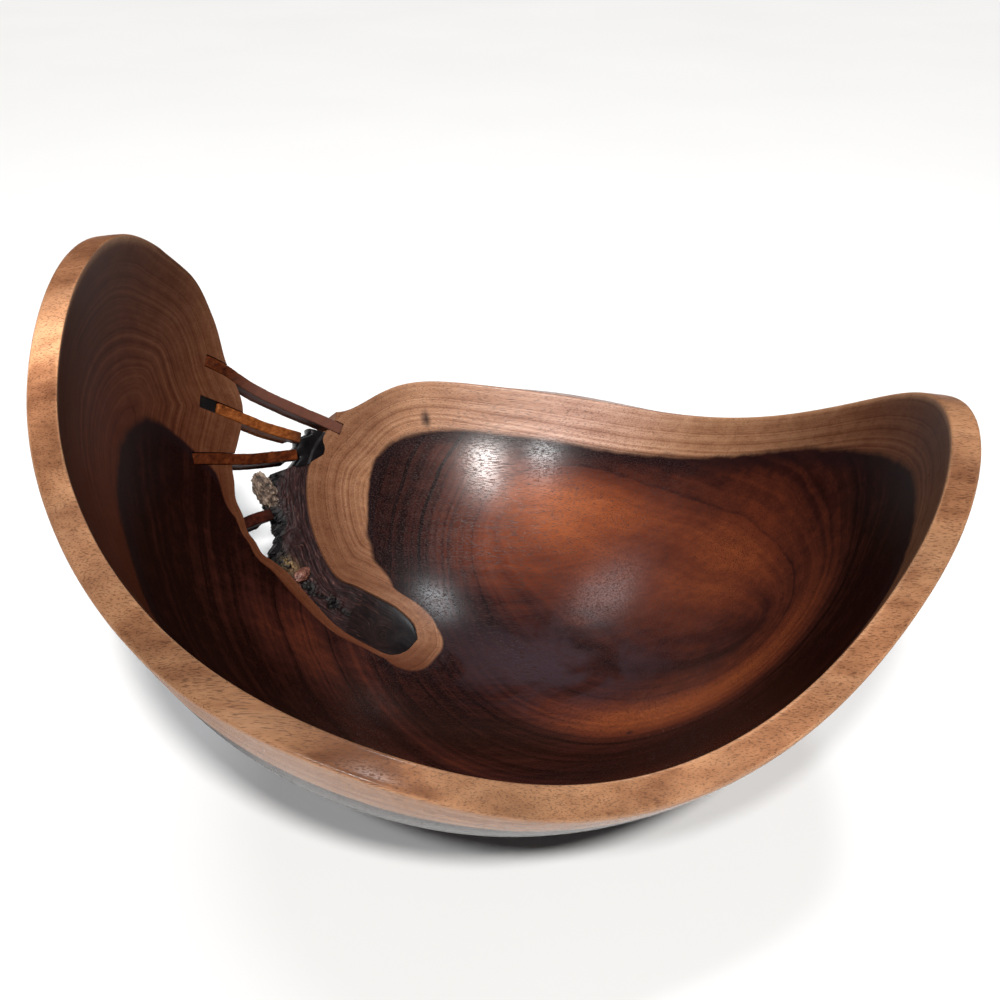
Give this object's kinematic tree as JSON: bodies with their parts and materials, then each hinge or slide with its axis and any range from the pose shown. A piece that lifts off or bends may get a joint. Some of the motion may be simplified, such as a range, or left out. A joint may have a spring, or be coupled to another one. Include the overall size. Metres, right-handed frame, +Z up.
{
  "type": "natural-edge wooden bowl",
  "caption": "Natural-edge turned wooden bowl with two raised wings, a bark seam through its wall bridged by inlaid wooden stitches, and a flat foot.",
  "frame": {"origin": "centre of the flat underside of the foot", "axes": "+Z up out of the bowl's mouth, +X along the log from the high wing to the low wing, -Y towards the front of the bowl"},
  "size_m": [0.3989, 0.3435, 0.2472],
  "materials": {
    "bowl_wood": "oiled and polished",
    "bark": "rough bark, lightly oiled",
    "flake": "dry and rough",
    "nodule": "satin",
    "resin": "glossy black fill",
    "stitch_wood": "oiled satin",
    "stitch_light_wood": "oiled satin",
    "stitch_red_wood": "oiled satin"
  },
  "bodies": {
    "root": {"bowl": "bowl_wood", "bark_seam": "bark", "bark_flake": "flake", "burl_nodule": "nodule", "seam_resin": "resin", "back_resin": "resin", "wing_resin": "resin", "stitch_upper": "stitch_wood", "stitch_second": "stitch_light_wood", "stitch_third": "stitch_wood", "stitch_lower": "stitch_red_wood"}
  },
  "joints": []
}
